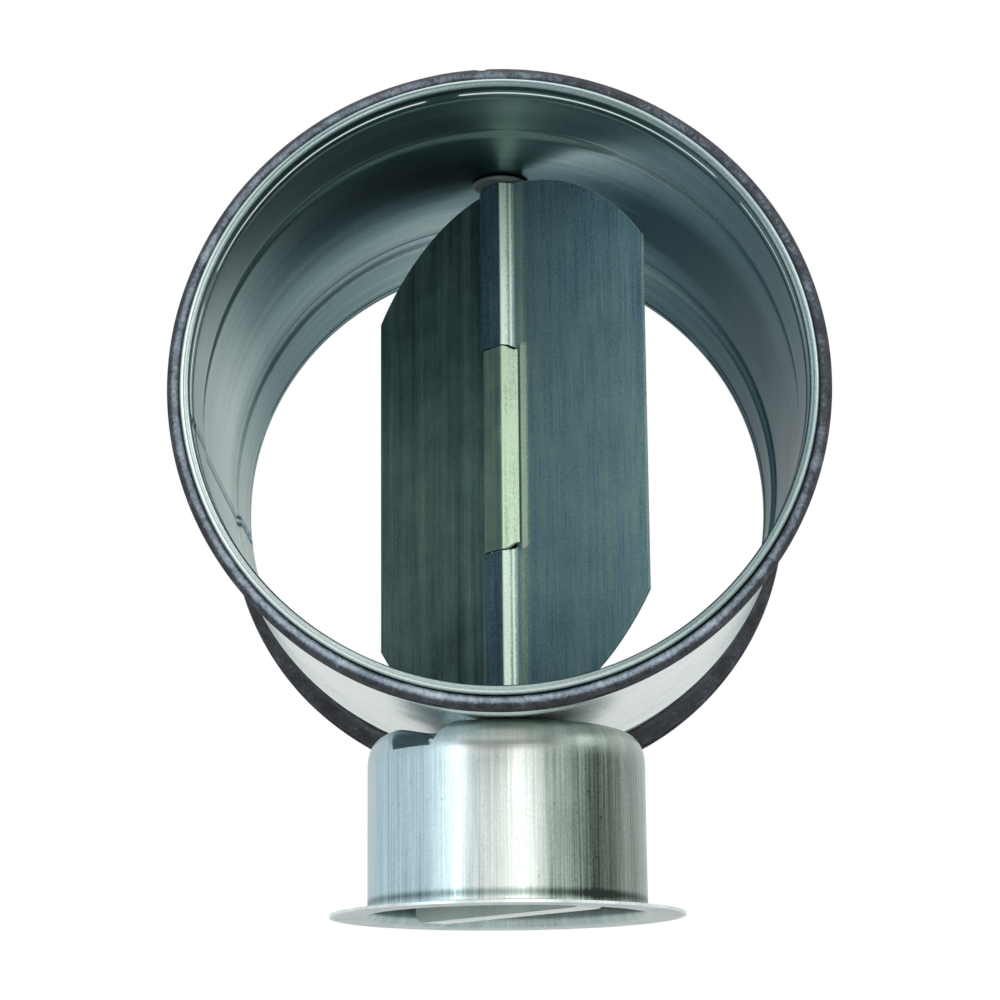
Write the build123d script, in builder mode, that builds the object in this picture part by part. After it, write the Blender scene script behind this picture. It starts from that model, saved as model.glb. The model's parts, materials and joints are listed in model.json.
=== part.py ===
from build123d import *
from math import cos, radians, sin, sqrt
import os

os.makedirs("parts", exist_ok=True)

# Round volume control damper, 160 mm nominal, with a turning blade and an insulation cup.
# Millimetres. +Z is up and Y runs along the duct. The origin is the centre of the cup flange's
# outer face, on the spindle's axis, and the duct's axis lies duct_height above it.

# Driving dimensions of the duct
duct_height = 130.0  # cup flange face to duct axis
duct_length = 150.0
wall = 0.6
bore_radius = 78.9
outer_radius = bore_radius + wall  # outside of each spigot
body_radius = 79.8  # inside of the wider middle, between the stop beads
body_outer = body_radius + wall
rim_radius = 81.5  # outside of the rolled rim
rim_depth = 3.8  # how far the rolled rim runs back
bead_inset = 35.0  # duct end to the middle of the stop bead
bead_height = 2.2
groove_inset = 7.5  # duct end to the middle of the inward groove line
groove_depth = 0.5

# Gaskets
lip_radius = 84.8

# Blade, a slightly tall disc with two straight sides, pressed in two halves
blade_reach = 78.0  # half the blade's height, and its upright half axis
right_outline = (57.6, 73.8)  # half width, and the rim's sideways half axis
left_outline = (54.6, 71.0)
blade_sheet = 0.8
blade_angle = 48.0  # turned this far open from closed
finger_reach = 77.9  # fingers end this far above and below the duct's axis
middle_finger = 29.5  # half the height of the middle finger
finger_gap = 0.25  # each side of the slit between two fingers
finger_top = 3.85  # outside of a finger, from the middle plane
finger_flat = 3.9  # half the width of a finger's flat top
finger_foot = 5.9  # half the width of a finger at its foot
finger_end = 7.9  # where the free end comes down beside the other half

# Spindle and bearings
spindle_radius = 3.0
journal_radius = 2.6
journal_flats = 4.3
bush_radius = 5.5
bush_bore = spindle_radius + 0.05
bush_flange = 8.0
seal_wire = 0.8

# Insulation cup
cup_radius = 37.9
cup_sheet = 0.7
cup_top = duct_height - body_outer - 0.1
cup_shoulder = 9.0
cup_flange = 48.2
pocket_depth = 7.0
pocket_angle = 228.0
pocket_half_width = 10.5
pocket_inner = 15.0  # where the pocket starts, from the spindle's axis
pad_face = cup_top - pocket_depth - cup_sheet  # inside face of the pocket

# Handle and lock
plate_radius = 34.5
plate_sheet = 1.5
plate_top = pad_face - 0.3
plate_face = plate_top - plate_sheet
grip_width = 8.5
grip_sheet = 2.5
grip_reach = 34.0
grip_face = 0.3
grip_lip = 6.8  # height of the grip's turned-up sides
grip_lip_sheet = 1.5
foot_inner = 24.0
stud_radius = 2.0
stud_circle = 24.0
stud_angle = 220.0
slot_half_width = stud_radius + 0.4
open_travel = -42.0  # from this position to fully open
close_travel = 48.0  # from this position to closed

duct_plane = Plane(origin=(0, 0, duct_height), x_dir=(0, 1, 0), z_dir=(1, 0, 0))
duct_axis = Axis((0, 0, duct_height), (0, 1, 0))
half_length = duct_length / 2
stud_x = stud_circle * cos(radians(stud_angle))
stud_y = stud_circle * sin(radians(stud_angle))


def save(shape, name):
    """Labels one finished piece and writes it as a STEP file."""
    shape.label = name
    export_step(shape, f"parts/{name}.step")


def ring(low, high, inner, outer, x=0.0, y=0.0):
    """A plain ring on a vertical axis, from one height to another."""
    with BuildPart() as made:
        with BuildSketch(Plane.XY.offset(low)):
            with Locations((x, y)):
                Circle(outer)
                Circle(inner, mode=Mode.SUBTRACT)
        extrude(amount=high - low)
    return made.part


# Duct casing: one rolled sheet with rolled rims, two groove lines and two stop beads
def half_skin():
    """The sheet's skin from a rolled rim to the middle, as points (distance from end, radius)."""
    return [
        (rim_depth, rim_radius),
        (0, rim_radius),
        (0, bore_radius),
        (groove_inset - 2.1, bore_radius),
        (groove_inset - 0.7, bore_radius - groove_depth),
        (groove_inset + 0.7, bore_radius - groove_depth),
        (groove_inset + 2.1, bore_radius),
        (bead_inset - 3.2, bore_radius),
        (bead_inset - 1.6, bore_radius + bead_height),
        (bead_inset + 1.6, bore_radius + bead_height),
        (bead_inset + 3.2, body_radius),
    ]


rim_turn, groove_turn, bead_turn = 1.25, 1.2, 1.4
half_turns = [rim_turn] * 2 + [groove_turn] * 4 + [bead_turn] * 4
front_skin = [(inset - half_length, radius) for inset, radius in half_skin()]
rear_skin = [(half_length - inset, radius) for inset, radius in reversed(half_skin())]

with BuildPart() as duct_casing:
    with BuildSketch(duct_plane):
        with BuildLine():
            FilletPolyline(*front_skin, *rear_skin, radius=half_turns + half_turns[::-1])
            offset(amount=wall, side=Side.LEFT)
        make_face()
    revolve(axis=duct_axis)
    with Locations((0, 0, duct_height)):
        Cylinder(bush_radius + 0.05, 2 * body_outer + 10, mode=Mode.SUBTRACT)
    with Locations((0, -22, cup_top), (0, 22, cup_top)):
        Cylinder(1.65, 10, mode=Mode.SUBTRACT)
save(duct_casing.part, "duct_casing")


# Gaskets: a rubber ring behind each rolled rim, with two lips that lean back
def gasket(direction):
    """The rubber ring of one duct end. direction is -1 at the front and 1 at the rear."""
    section = [
        (4.1, outer_radius + 0.05),
        (4.1, rim_radius + 0.1),
        (1.4, rim_radius + 0.1),
        (1.3, lip_radius - 1.6),
        (2.6, lip_radius),
        (3.5, lip_radius),
        (4.6, lip_radius - 3.0),
        (8.2, lip_radius - 3.5),
        (9.8, lip_radius - 0.4),
        (10.7, lip_radius - 0.4),
        (12.0, lip_radius - 3.6),
        (15.6, lip_radius - 4.4),
        (16.2, outer_radius + 0.05),
    ]
    with BuildPart() as made:
        with BuildSketch(duct_plane):
            with BuildLine():
                Polyline(*[(direction * (half_length - s), r) for s, r in section], close=True)
            make_face()
        revolve(axis=duct_axis)
    return made.part


save(gasket(-1), "front_gasket")
save(gasket(1), "rear_gasket")


# Blade: two pressed halves whose fingers wrap the spindle from both sides in turn
def finger(side, low, high):
    """One finger of the half at +X, bulging to side (-1 or 1 in Y) between two heights."""
    skin = [
        (finger_foot + 2.2, side * blade_sheet / 2),
        (finger_foot, side * blade_sheet / 2),
        (finger_flat, side * finger_top),
        (-finger_flat, side * finger_top),
        (-finger_end, side * 1.25),
    ]
    with BuildPart() as made:
        with BuildSketch(Plane.XY.offset(duct_height + low)):
            with BuildLine():
                FilletPolyline(*skin, radius=[0.4, 1.2, 1.2])
                offset(amount=blade_sheet, side=Side.RIGHT if side > 0 else Side.LEFT)
            make_face()
            if side < 0:
                mirror(about=Plane.YZ, mode=Mode.PRIVATE)
        extrude(amount=high - low)
    return made.part


def blade_half(turn, outline):
    """One half of the blade with its outline, turned about the spindle."""
    half_width, side_axis = outline
    plate_start = finger_foot + 1.2
    with BuildPart() as made:
        with BuildSketch(Plane.XZ.offset(-blade_sheet / 2)):
            with Locations((0, duct_height)):
                Ellipse(side_axis, blade_reach)
            with Locations(((half_width + plate_start) / 2, duct_height)):
                Rectangle(
                    half_width - plate_start, 3 * blade_reach, mode=Mode.INTERSECT
                )
        extrude(amount=blade_sheet)
        add(finger(-1, middle_finger + finger_gap, finger_reach))
        add(finger(-1, -finger_reach, -middle_finger - finger_gap))
        add(finger(1, -middle_finger + finger_gap, middle_finger - finger_gap))
    return made.part.rotate(Axis.Z, turn)


save(blade_half(-blade_angle, right_outline), "blade_half_right")
save(blade_half(180 - blade_angle, left_outline), "blade_half_left")

# Spindle: a round rod with a threaded journal below, flattened where the handle plate sits
spindle_top = duct_height + body_outer + 1.2
journal_top = plate_top + 1.6
journal_end = plate_face - 7.0
with BuildPart() as spindle:
    with BuildSketch(Plane.XY.offset(journal_top)):
        Circle(spindle_radius)
    extrude(amount=spindle_top - journal_top)
    with BuildSketch(Plane.XY.offset(journal_end)):
        Circle(journal_radius)
    extrude(amount=journal_top - journal_end)
    with BuildSketch(Plane.XY.offset(plate_face - 0.3)):
        with Locations(Location((0, 0), -blade_angle)):
            Rectangle(20, 20)
            Rectangle(20, journal_flats, mode=Mode.SUBTRACT)
    extrude(amount=plate_sheet + 0.6, mode=Mode.SUBTRACT)
    chamfer(spindle.edges().filter_by(GeomType.CIRCLE).sort_by(Axis.Z)[0], 0.6)
    chamfer(spindle.edges().filter_by(GeomType.CIRCLE).sort_by(Axis.Z)[-1], 0.6)
save(spindle.part, "spindle")


# Bearings: a flanged bush in each wall, with a seal ring round the spindle and a retaining ring
def bush(flange_low, flange_high, body_low, body_high, seal_height):
    """A flanged bush with a groove for the seal ring, on the spindle's axis."""
    with BuildPart() as made:
        with BuildSketch(Plane.XY.offset(body_low)):
            Circle(bush_radius)
        extrude(amount=body_high - body_low)
        with BuildSketch(Plane.XY.offset(flange_low)):
            Circle(bush_flange)
        extrude(amount=flange_high - flange_low)
        chamfer(made.edges().filter_by(GeomType.CIRCLE).group_by(SortBy.RADIUS)[-1], 0.35)
        with Locations((0, 0, (body_low + body_high) / 2)):
            Cylinder(bush_bore, 3 * (body_high - body_low), mode=Mode.SUBTRACT)
        with Locations((0, 0, seal_height)):
            Cylinder(bush_bore + 2 * seal_wire, 2 * seal_wire + 0.2, mode=Mode.SUBTRACT)
    return made.part


bush_sheet = 1.0
wall_rise = body_radius - sqrt(body_radius**2 - bush_flange**2)
lower_wall = duct_height - body_radius + wall_rise + 0.1
upper_wall = duct_height + body_radius - wall_rise - 0.1
bush_end = cup_top - cup_sheet - 2.2
cap_seat = duct_height + body_outer + 2.2
lower_seal_height = (bush_end + lower_wall + bush_sheet) / 2
upper_seal_height = (cap_seat + upper_wall - bush_sheet) / 2
lower_face, upper_face = lower_wall + bush_sheet, upper_wall - bush_sheet
save(bush(lower_wall, lower_face, bush_end, lower_face, lower_seal_height), "lower_bush")
save(bush(upper_face, upper_wall, upper_face, cap_seat, upper_seal_height), "upper_bush")

for name, height in (("lower_shaft_seal", lower_seal_height), ("upper_shaft_seal", upper_seal_height)):
    with BuildPart() as shaft_seal:
        with Locations((0, 0, height)):
            Torus(bush_bore + seal_wire, seal_wire - 0.02)
    save(shaft_seal.part, name)


def retaining_ring(low):
    """A sprung star ring with eight teeth that grip a bush."""
    with BuildPart() as made:
        with BuildSketch(Plane.XY.offset(low)):
            Circle(9.0)
            Circle(bush_radius + 0.02, mode=Mode.SUBTRACT)
            with PolarLocations(bush_radius + 0.7, 8):
                Rectangle(1.6, 0.7, mode=Mode.SUBTRACT)
        extrude(amount=0.6)
    return made.part


save(retaining_ring(cup_top - cup_sheet - 0.65), "lower_retaining_ring")
save(retaining_ring(duct_height + body_outer + 0.05), "upper_retaining_ring")

with BuildPart() as upper_bearing_cap:
    with BuildSketch(Plane.XY.offset(cap_seat - 1.4)):
        Circle(bush_radius + 1.0)
    extrude(amount=2.6)
    fillet(upper_bearing_cap.edges().sort_by(Axis.Z)[-1], 0.8)
    with BuildSketch(Plane.XY.offset(cap_seat - 1.4)):
        Circle(bush_radius + 0.02)
    extrude(amount=1.6, mode=Mode.SUBTRACT)
save(upper_bearing_cap.part, "upper_bearing_cap")

# Insulation cup: a drawn cup with a flange, and a pressed pocket that carries the lock stud
pocket_slope = 25
with BuildPart() as insulation_cup:
    with BuildSketch(Plane.XZ):
        with BuildLine():
            FilletPolyline(
                (bush_radius + 0.05, cup_top),
                (cup_radius, cup_top),
                (cup_radius, cup_sheet),
                (cup_flange, cup_sheet),
                radius=[cup_shoulder, 1.8],
            )
            offset(amount=cup_sheet, side=Side.RIGHT)
        make_face()
    revolve(axis=Axis.Z)

with BuildPart() as cup_solid:
    with BuildSketch(Plane.XZ):
        with BuildLine():
            FilletPolyline(
                (0, 0), (0, cup_top), (cup_radius, cup_top), (cup_radius, 0), radius=[0.01, cup_shoulder]
            )
            Line((cup_radius, 0), (0, 0))
        make_face()
    revolve(axis=Axis.Z)


def pocket(grow):
    """The space of the pocket in the cup's shoulder, grown all round by a sheet's thickness."""
    start, reach = pocket_inner - grow, 40.0
    middle = start + reach / 2
    with BuildPart() as made:
        with BuildSketch(Plane.XY.offset(cup_top + 0.01)):
            with Locations(
                Location(
                    (middle * cos(radians(pocket_angle)), middle * sin(radians(pocket_angle))),
                    pocket_angle,
                )
            ):
                RectangleRounded(reach, 2 * (pocket_half_width + grow), 4)
        extrude(amount=-(pocket_depth + grow + 0.01), taper=pocket_slope)
    return made.part


with BuildPart() as pocket_wall:
    add(cup_solid.part)
    add(pocket(cup_sheet), mode=Mode.INTERSECT)

with BuildPart() as cup_with_pocket:
    add(insulation_cup.part)
    add(pocket_wall.part)
    add(pocket(0), mode=Mode.SUBTRACT)
    with Locations((0, -22, cup_top), (0, 22, cup_top)):
        Cylinder(1.65, 6, mode=Mode.SUBTRACT)
    with Locations((stud_x, stud_y, pad_face)):
        Cylinder(stud_radius + 0.02, 6, mode=Mode.SUBTRACT)
save(cup_with_pocket.part, "insulation_cup")


def rivet(x, y, low_head, high_head, shank):
    """A rivet on a vertical axis, with a domed head below low_head and one above high_head."""
    head = 2 * shank
    with BuildPart() as made:
        with BuildSketch(Plane.XY.offset(low_head - 0.1)):
            with Locations((x, y)):
                Circle(shank)
        extrude(amount=high_head - low_head + 0.2)
        for height, amount in ((low_head, -1.1), (high_head, 1.1)):
            with BuildSketch(Plane.XY.offset(height)):
                with Locations((x, y)):
                    Circle(head)
            extrude(amount=amount)
        fillet(made.edges().filter_by(GeomType.CIRCLE).sort_by(Axis.Z)[0], 0.6)
        fillet(made.edges().filter_by(GeomType.CIRCLE).sort_by(Axis.Z)[-1], 0.6)
    return made.part


cup_rivet_head = duct_height - body_radius + 0.15
cup_rivets = Compound(
    children=[rivet(0, y, cup_top - cup_sheet - 0.02, cup_rivet_head, 1.6) for y in (-22, 22)]
)
save(cup_rivets, "cup_rivets")

# Handle plate: a disc on the spindle's flats, with an arc slot for the stud
slot_low = stud_angle - close_travel
slot_high = stud_angle - open_travel
foot_rivet = 28.0
grip_angles = (-blade_angle, 180 - blade_angle)
with BuildPart() as handle_plate:
    with BuildSketch(Plane.XY.offset(plate_face)):
        Circle(plate_radius)
        with Locations(Location((0, 0), -blade_angle)):
            RectangleRounded(2 * journal_radius + 0.1, journal_flats + 0.1, 0.6, mode=Mode.SUBTRACT)
        with BuildLine():
            slot_middle = CenterArc((0, 0), stud_circle, slot_low, slot_high - slot_low)
        SlotArc(slot_middle, 2 * slot_half_width, mode=Mode.SUBTRACT)
        with Locations([(foot_rivet * cos(radians(a)), foot_rivet * sin(radians(a))) for a in grip_angles]):
            Circle(1.55, mode=Mode.SUBTRACT)
    extrude(amount=plate_sheet)
save(handle_plate.part, "handle_plate")

scale_inner, scale_outer, scale_sheet = 29.4, 33.6, 0.2
with BuildPart() as position_scale:
    with BuildSketch(Plane.XY.offset(plate_face)):
        with BuildLine():
            scale_arc = CenterArc((0, 0), (scale_inner + scale_outer) / 2, slot_low, slot_high - slot_low)
        SlotArc(scale_arc, scale_outer - scale_inner)
    extrude(amount=-scale_sheet)
save(position_scale.part, "position_scale")

# Grip: one bent strip across the cup's mouth with turned-up sides, its two feet riveted to the plate
grip_plane = Plane(
    origin=(0, 0, 0), x_dir=(cos(radians(blade_angle)), -sin(radians(blade_angle)), 0), z_dir=(
        sin(radians(blade_angle)), cos(radians(blade_angle)), 0)
)
grip_up = 1 if grip_plane.y_dir.Z > 0 else -1
foot_face = plate_face - 0.02
with BuildPart() as grip_strap:
    with BuildSketch(grip_plane.offset(-grip_width / 2)):
        with BuildLine():
            FilletPolyline(
                (-foot_inner, grip_up * foot_face),
                (-grip_reach, grip_up * foot_face),
                (-grip_reach, grip_up * grip_face),
                (grip_reach, grip_up * grip_face),
                (grip_reach, grip_up * foot_face),
                (foot_inner, grip_up * foot_face),
                radius=3.2,
            )
            offset(amount=grip_sheet, side=Side.LEFT if grip_up > 0 else Side.RIGHT)
        make_face()
    extrude(amount=grip_width)
    for start in (-grip_width / 2, grip_width / 2 - grip_lip_sheet):
        with BuildSketch(grip_plane.offset(start)):
            with Locations((0, grip_up * (grip_face + 1 + grip_lip) / 2)):
                Rectangle(2 * grip_reach - 2, grip_lip - grip_face - 1)
        extrude(amount=grip_lip_sheet)
    with Locations([(foot_rivet * cos(radians(a)), foot_rivet * sin(radians(a)), foot_face) for a in grip_angles]):
        Cylinder(1.55, 12, mode=Mode.SUBTRACT)
save(grip_strap.part, "grip_strap")

grip_rivets = Compound(
    children=[
        rivet(
            foot_rivet * cos(radians(a)),
            foot_rivet * sin(radians(a)),
            foot_face - grip_sheet - 0.02,
            plate_top + 0.02,
            1.5,
        )
        for a in grip_angles
    ]
)
save(grip_rivets, "grip_rivets")

# Spindle fastening: spacer above the plate, spring washer and nut below it
save(ring(plate_top + 0.02, journal_top - 0.02, journal_radius + 0.05, 5.0), "spindle_spacer")

washer_top = plate_face - 0.02
with BuildPart() as spring_washer:
    with BuildSketch(Plane.XY.offset(washer_top - 1.3)):
        Circle(5.2)
        Circle(journal_radius + 0.05, mode=Mode.SUBTRACT)
        with Locations(Location((4.2, 0), 25)):
            Rectangle(5, 0.7, mode=Mode.SUBTRACT)
    extrude(amount=1.3)
save(spring_washer.part, "spring_washer")

nut_top = washer_top - 1.32
with BuildPart() as spindle_nut:
    with BuildSketch(Plane.XY.offset(nut_top - 4.8)):
        RegularPolygon(radius=5.0, side_count=6, major_radius=False)
    extrude(amount=4.8)
    chamfer(spindle_nut.faces().sort_by(Axis.Z)[0].edges(), 0.4)
    with Locations((0, 0, nut_top - 2.4)):
        Cylinder(journal_radius + 0.03, 10, mode=Mode.SUBTRACT)
save(spindle_nut.part, "spindle_nut")

# Lock: a stud riveted into the cup's pocket, a washer and a wing nut that clamps the plate
stud_end = plate_face - 13.0
with BuildPart() as lock_stud:
    with BuildSketch(Plane.XY.offset(stud_end)):
        with Locations((stud_x, stud_y)):
            Circle(stud_radius)
    extrude(amount=cup_top - pocket_depth - stud_end + 0.1)
    with BuildSketch(Plane.XY.offset(cup_top - pocket_depth + 0.03)):
        with Locations((stud_x, stud_y)):
            Circle(2.5)
    extrude(amount=4.0)
    fillet(lock_stud.edges().filter_by(GeomType.CIRCLE).sort_by(Axis.Z)[-1], 0.9)
    chamfer(lock_stud.edges().filter_by(GeomType.CIRCLE).sort_by(Axis.Z)[0], 0.4)
save(lock_stud.part, "lock_stud")

lock_washer_top = plate_face - 0.05
save(ring(lock_washer_top - 0.9, lock_washer_top, stud_radius + 0.1, 5.0, stud_x, stud_y), "lock_washer")

hub_top = lock_washer_top - 0.95
hub_height, wing_span, wing_sheet = 5.5, 10.0, 1.7
wing_top, wing_low = hub_top - 2.0, hub_top - 10.5
with BuildPart() as wing_nut:
    with BuildSketch(Plane.XY.offset(hub_top - hub_height)):
        with Locations((stud_x, stud_y)):
            Circle(3.9)
    extrude(amount=hub_height, taper=-4)
    with BuildSketch(Plane.XZ.offset(-stud_y - wing_sheet / 2)):
        for side in (-1, 1):
            with BuildLine():
                Polyline(
                    (stud_x + side * 1.2, wing_top),
                    (stud_x + side * 5.2, wing_top - 0.6),
                    (stud_x + side * (wing_span - 0.6), wing_low + 3.6),
                    (stud_x + side * wing_span, wing_low + 1.4),
                    (stud_x + side * (wing_span - 2.2), wing_low),
                    (stud_x + side * (wing_span - 4.6), wing_low + 0.8),
                    (stud_x + side * 2.6, hub_top - hub_height + 0.3),
                    (stud_x + side * 1.2, hub_top - hub_height + 0.3),
                    close=True,
                )
            make_face()
    extrude(amount=wing_sheet)
    with Locations((stud_x, stud_y, hub_top)):
        Cylinder(stud_radius + 0.05, 30, mode=Mode.SUBTRACT)
save(wing_nut.part, "wing_nut")
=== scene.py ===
import json
import bmesh
import bpy
import numpy as np
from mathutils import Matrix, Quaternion, Vector


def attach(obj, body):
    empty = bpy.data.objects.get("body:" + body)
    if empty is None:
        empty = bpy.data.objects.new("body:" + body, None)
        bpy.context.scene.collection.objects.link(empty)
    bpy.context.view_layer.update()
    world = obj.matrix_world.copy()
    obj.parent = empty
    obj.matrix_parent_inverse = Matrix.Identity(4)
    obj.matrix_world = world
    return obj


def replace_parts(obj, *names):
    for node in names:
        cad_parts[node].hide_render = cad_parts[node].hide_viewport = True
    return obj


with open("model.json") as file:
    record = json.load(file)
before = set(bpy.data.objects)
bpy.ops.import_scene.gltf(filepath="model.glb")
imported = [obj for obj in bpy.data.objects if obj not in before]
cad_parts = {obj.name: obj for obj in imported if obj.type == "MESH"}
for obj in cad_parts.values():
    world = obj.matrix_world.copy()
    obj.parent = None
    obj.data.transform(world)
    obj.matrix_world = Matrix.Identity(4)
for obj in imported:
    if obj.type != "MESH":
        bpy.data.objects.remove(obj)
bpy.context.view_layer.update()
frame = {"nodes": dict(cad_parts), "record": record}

# shapes are worked out in millimetres and become metres when a mesh is made
toMetres = 0.001
weldGap = 0.000001  # metres
bladeTurn = np.radians(48.0)  # how far the blade stands open from closed
ductAxis = 130.0  # height of the duct's axis above the cup's flange
halfDuct = 75.0
farAway = 1000.0  # stands for no pocket floor
plainMarks = {"tone": 0.6, "tint": 0.5, "drawn": 1.0}
mixFrom, mixTo, mixOut = 6, 7, 2  # a Mix node's two colour inputs and its colour output
noiseSpan = {"From Min": 0.35, "From Max": 0.65}  # most of a noise's values lie between these


def toLinear(hexColour):
    # sRGB hex to the linear values that a shader takes
    parts = [int(hexColour[i:i + 2], 16) / 255 for i in (1, 3, 5)]
    return tuple(c / 12.92 if c <= 0.04045 else ((c + 0.055) / 1.055) ** 2.4 for c in parts) + (1.0,)


def addNode(tree, kind, settings=None, inputs=None):
    # adds one node, sets its properties, and sets or links its inputs by name or number
    node = tree.nodes.new(kind)
    for name, value in (settings or {}).items():
        setattr(node, name, value)
    for key, value in (inputs or {}).items():
        if isinstance(value, bpy.types.NodeSocket):
            tree.links.new(value, node.inputs[key])
        else:
            node.inputs[key].default_value = value
    return node


def startMaterial(name):
    material = bpy.data.materials.new(name)
    material.use_nodes = True
    material.node_tree.nodes.clear()
    return material, material.node_tree


def fadeStops(node, stops):
    # gives a colour ramp its stops: position and hex colour
    ramp = node.color_ramp
    while len(ramp.elements) < len(stops):
        ramp.elements.new(0.5)
    for element, (position, hexColour) in zip(ramp.elements, stops):
        element.position = position
        element.color = toLinear(hexColour)
    return node


def shellPiece(name, shells, sharp=None):
    # one mesh from grids of points in millimetres: neighbouring rows and columns make quads, and a
    # closed side joins last to first; "along" gives rows and columns their distance for the UV map,
    # "tone" (dark 0 to light 1), "tint" (warm 0 to cool 1, rust from 1.2) and "drawn" (how strong
    # the drawing lines are) are read by the finish
    places, faces, flatPlaces, start = [], [], [], 0
    marks = {mark: [] for mark in plainMarks}
    corners = [(0, 0), (0, 1), (1, 1), (1, 0)]
    for shell in shells:
        points = shell["points"]
        rows, columns = points.shape[:2]
        closeRows, closeColumns = shell.get("close", (False, False))
        index = start + np.arange(rows * columns).reshape(rows, columns)
        index = index[np.arange(rows + closeRows) % rows][:, np.arange(columns + closeColumns) % columns]
        order = corners[::-1] if shell.get("flip") else corners
        high, wide = index.shape
        quads = np.stack([index[i:high - 1 + i, j:wide - 1 + j] for i, j in order], -1)
        faces.append(quads.reshape(-1, 4))
        rowDistance, columnDistance = shell.get("along", (np.arange(high), np.arange(wide)))
        spread = np.stack(np.broadcast_arrays(columnDistance[None], rowDistance[:, None]), -1) * toMetres
        flat = np.stack([spread[i:high - 1 + i, j:wide - 1 + j] for i, j in order], 2)
        flatPlaces.append(flat.reshape(-1))
        places.append(points.reshape(-1, 3) * toMetres)
        for mark, plain in plainMarks.items():
            marks[mark].append(np.broadcast_to(shell.get(mark, plain), (rows, columns)).reshape(-1))
        start += rows * columns
    mesh = bpy.data.meshes.new(name)
    mesh.from_pydata(np.vstack(places).tolist(), [], np.vstack(faces).tolist())
    alongMap = mesh.uv_layers.new(name="along")
    alongMap.data.foreach_set("uv", np.concatenate(flatPlaces).astype(np.float32))
    for mark, values in marks.items():
        attribute = mesh.attributes.new(mark, "FLOAT", "POINT")
        attribute.data.foreach_set("value", np.concatenate(values).astype(np.float32))
    welded = bmesh.new()
    welded.from_mesh(mesh)
    bmesh.ops.remove_doubles(welded, verts=welded.verts, dist=weldGap)
    welded.to_mesh(mesh)
    welded.free()
    mesh.polygons.foreach_set("use_smooth", np.ones(len(mesh.polygons), bool))
    if sharp:
        mesh.set_sharp_from_angle(angle=np.radians(sharp))
    mesh.update()
    piece = bpy.data.objects.new(name, mesh)
    bpy.context.scene.collection.objects.link(piece)
    return piece


def smoothStep(value):
    value = np.clip(value, 0, 1)
    return value * value * (3 - 2 * value)


def hump(value, centre, halfWidth):
    # a raised cosine: 1 at the centre and 0 from halfWidth on
    away = np.clip(np.abs(value - centre) / halfWidth, 0, 1)
    return 0.5 + 0.5 * np.cos(np.pi * away)


def degreesFrom(angle, at):
    # the turn from one angle to another, -180 to 180
    return (angle - at + 180) % 360 - 180


def ripple(angle, seed, waves, strength):
    # a slow unevenness round a circle: a sum of a few whole waves with fixed phases
    phases = np.random.default_rng(seed).uniform(0, 2 * np.pi, len(waves))
    pairs = enumerate(zip(waves, phases))
    return sum(strength / (1 + k) * np.sin(wave * angle + phase) for k, (wave, phase) in pairs)


def roundPath(points, radii, steps=6):
    # a polyline with its inner corners rounded: each corner becomes an arc sampled as a quadratic curve
    points = np.asarray(points, float)
    out = [points[:1]]
    for before, corner, after, radius in zip(points[:-2], points[1:-1], points[2:], radii):
        a, b = before - corner, after - corner
        la, lb = np.linalg.norm(a), np.linalg.norm(b)
        half = np.arccos(np.clip(a @ b / la / lb, -1, 1)) / 2
        cut = min(radius / np.tan(half), 0.49 * la, 0.49 * lb)  # at most about half of either side
        t = np.linspace(0, 1, steps)[:, None]
        first, last = corner + a / la * cut, corner + b / lb * cut
        out.append((1 - t) ** 2 * first + 2 * t * (1 - t) * corner + t ** 2 * last)
    return np.vstack(out + [points[-1:]])


def fillIn(path, gap, closed=False):
    # adds points along a path until no two are further apart than gap
    path = np.vstack([path, path[:1]]) if closed else path
    parts = []
    for a, b in zip(path[:-1], path[1:]):
        count = max(1, int(np.ceil(np.linalg.norm(b - a) / gap)))
        parts.append(a + (b - a) * np.linspace(0, 1, count, endpoint=False)[:, None])
    return np.vstack(parts if closed else parts + [path[-1:]])


def pathLength(path, closed=False):
    # the distance along a path to each of its points
    path = np.vstack([path, path[:1]]) if closed else path
    return np.concatenate([[0], np.cumsum(np.linalg.norm(np.diff(path, axis=0), axis=1))])


cameraSetup = {
    "place": Vector((0.00919, -0.72686, -0.05742)),
    "aim": Vector((-0.00148, 0.03181, 0.12342)),
    "roll": -0.55,  # degrees
    "lens": 96.05, "sensor": 36,  # mm
}
camera = bpy.data.objects.new("viewCamera", bpy.data.cameras.new("viewCamera"))
bpy.context.scene.collection.objects.link(camera)
camera.data.lens, camera.data.sensor_width = cameraSetup["lens"], cameraSetup["sensor"]
camera.location = cameraSetup["place"]
camera.rotation_mode = "QUATERNION"
lookAlong = (cameraSetup["aim"] - cameraSetup["place"]).to_track_quat("-Z", "Y")
camera.rotation_quaternion = lookAlong @ Quaternion((0, 0, 1), np.radians(cameraSetup["roll"]))
bpy.context.scene.camera = camera
print("camera placed")

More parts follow.
